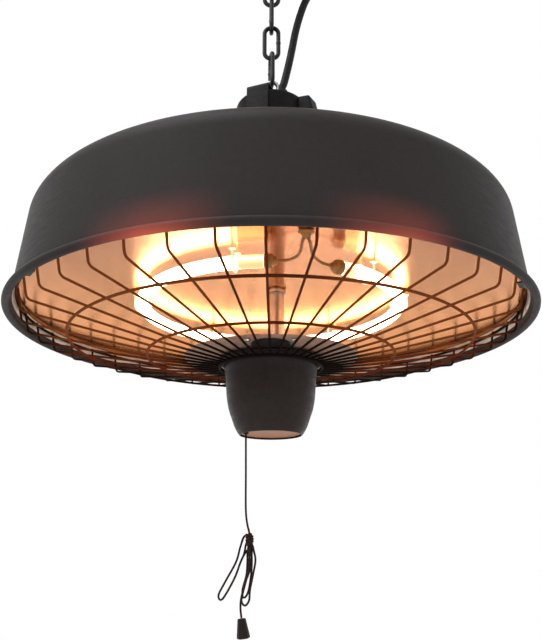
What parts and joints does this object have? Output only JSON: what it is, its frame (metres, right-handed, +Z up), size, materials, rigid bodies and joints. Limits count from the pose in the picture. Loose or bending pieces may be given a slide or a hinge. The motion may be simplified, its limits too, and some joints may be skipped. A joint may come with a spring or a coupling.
{
  "type": "hanging patio heater",
  "caption": "Hanging electric patio heater: round shade, ring-shaped quartz tube behind a wire guard, pull-cord switch cup, chain and ceiling rose.",
  "frame": {"origin": "centre of the ceiling rose's top face, on the ceiling", "axes": "+Z up into the ceiling; -Y is the front that the picture shows; +X is the picture's right"},
  "size_m": [0.4248, 0.4248, 0.6677],
  "materials": {
    "black_plastic": "fine matt moulding",
    "black_rubber": "matt rubber sheath",
    "black_steel": "black coated steel, satin",
    "ceramic": null,
    "cord_fabric": "fine round braid, matt",
    "dark_enamel": "satin dark grey-brown enamel",
    "guard_steel": "heat-browned steel wire, satin",
    "polished_aluminium": "polished, bright",
    "quartz": "clear quartz, glossy",
    "satin_base": "satin, warm tan",
    "white_plastic": "satin moulding",
    "wire_sleeve": "woven glass-fibre sleeve, matt",
    "zinc": "zinc-plated steel, slightly dull"
  },
  "bodies": {
    "ceiling_mount": {"ceiling_rose": "dark_enamel", "ceiling_hook": "black_steel", "hook_nut": "zinc", "ceiling_gland": "black_plastic"},
    "link_1": {"chain_link_1": "black_steel"},
    "link_2": {"chain_link_2": "black_steel"},
    "link_3": {"chain_link_3": "black_steel"},
    "link_4": {"chain_link_4": "black_steel"},
    "heater": {"cable_grommet": "black_rubber", "centre_tube": "polished_aluminium", "cord_bush": "black_plastic", "cup_base": "satin_base", "cup_bracket": "black_steel", "eye_bolt": "zinc", "eye_nut_low": "zinc", "eye_nut_top": "zinc", "guard_clip_1": "zinc", "guard_clip_2": "zinc", "guard_clip_3": "zinc", "hanger_strap": "dark_enamel", "heating_tube": "quartz", "inner_cable": "black_rubber", "lead_bush": "ceramic", "mains_cable": "black_rubber", "reflector": "polished_aluminium", "reflector_wiring": "wire_sleeve", "shade": "dark_enamel", "shield_plate": "dark_enamel", "stem_nut_crown_low": "zinc", "stem_nut_crown_top": "zinc", "stem_nut_cup": "zinc", "stem_nut_reflector": "zinc", "stem_nut_shield": "zinc", "strap_screw_1": "zinc", "strap_screw_2": "zinc", "switch_body": "white_plastic", "switch_cup": "dark_enamel", "switch_wiring": "wire_sleeve", "terminal_block": "white_plastic", "top_cap": "black_plastic", "tube_cap_left": "ceramic", "tube_cap_right": "ceramic", "tube_clip_1": "zinc", "tube_clip_2": "zinc", "tube_clip_3": "zinc", "tube_clip_4": "zinc", "tube_clip_5": "zinc", "tube_clip_6": "zinc", "tube_lead_left": "wire_sleeve", "tube_lead_right": "wire_sleeve", "wire_guard": "guard_steel"},
    "pull_switch": {"switch_slider": "black_plastic", "return_spring": "zinc", "pull_cord": "cord_fabric", "cord_knot": "cord_fabric", "cord_loops": "cord_fabric", "cord_tail": "cord_fabric", "pull_knob": "black_plastic"}
  },
  "joints": [
    {"name": "link_1_swing", "type": "hinge", "parent": "ceiling_mount", "child": "link_1", "pos_m": [0, 0, -0.0772], "axis": [0, 1, 0], "range_deg": [-8, 8], "deforming": ["mains_cable"]},
    {"name": "link_2_swing", "type": "hinge", "parent": "link_1", "child": "link_2", "pos_m": [0, 0, -0.1065], "axis": [1, 0, 0], "range_deg": [-8, 8], "deforming": ["mains_cable"]},
    {"name": "link_3_swing", "type": "hinge", "parent": "link_2", "child": "link_3", "pos_m": [0, 0, -0.1363], "axis": [0, 1, 0], "range_deg": [-8, 8], "deforming": ["mains_cable"]},
    {"name": "link_4_swing", "type": "hinge", "parent": "link_3", "child": "link_4", "pos_m": [0, 0, -0.1661], "axis": [1, 0, 0], "range_deg": [-8, 8], "deforming": ["mains_cable"]},
    {"name": "heater_swing", "type": "hinge", "parent": "link_4", "child": "heater", "pos_m": [0, 0, -0.1959], "axis": [0, 1, 0], "range_deg": [-8, 8], "deforming": ["mains_cable"]},
    {"name": "pull_slide", "type": "slide", "parent": "heater", "child": "pull_switch", "axis": [0, 0, -1], "range_m": [0, 0.012], "stiffness_N_per_m": 300, "deforming": ["return_spring"]}
  ]
}
